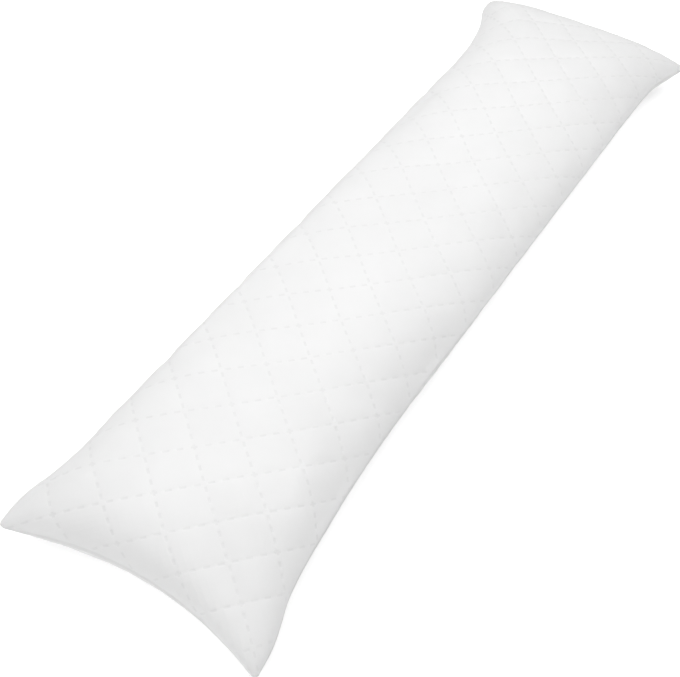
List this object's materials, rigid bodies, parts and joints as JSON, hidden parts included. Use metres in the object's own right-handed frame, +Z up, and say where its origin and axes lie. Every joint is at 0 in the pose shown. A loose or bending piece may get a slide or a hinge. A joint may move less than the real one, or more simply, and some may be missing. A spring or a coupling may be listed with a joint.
{
  "type": "body pillow",
  "caption": "Long filled body pillow in a white diamond-quilted cover, with a plain edge seam drawn in between four pointed corners, lying on its back.",
  "frame": {"origin": "on the surface the pillow lies on, under the middle of its bounding box", "axes": "+X across the pillow, +Y along it, +Z up out of its upper face"},
  "size_m": [0.5, 1.76, 0.1719],
  "materials": {
    "quilted_cover": "matt white cloth, quilted in diamonds with short dashes"
  },
  "bodies": {
    "root": {"body_pillow": "quilted_cover"}
  },
  "joints": []
}
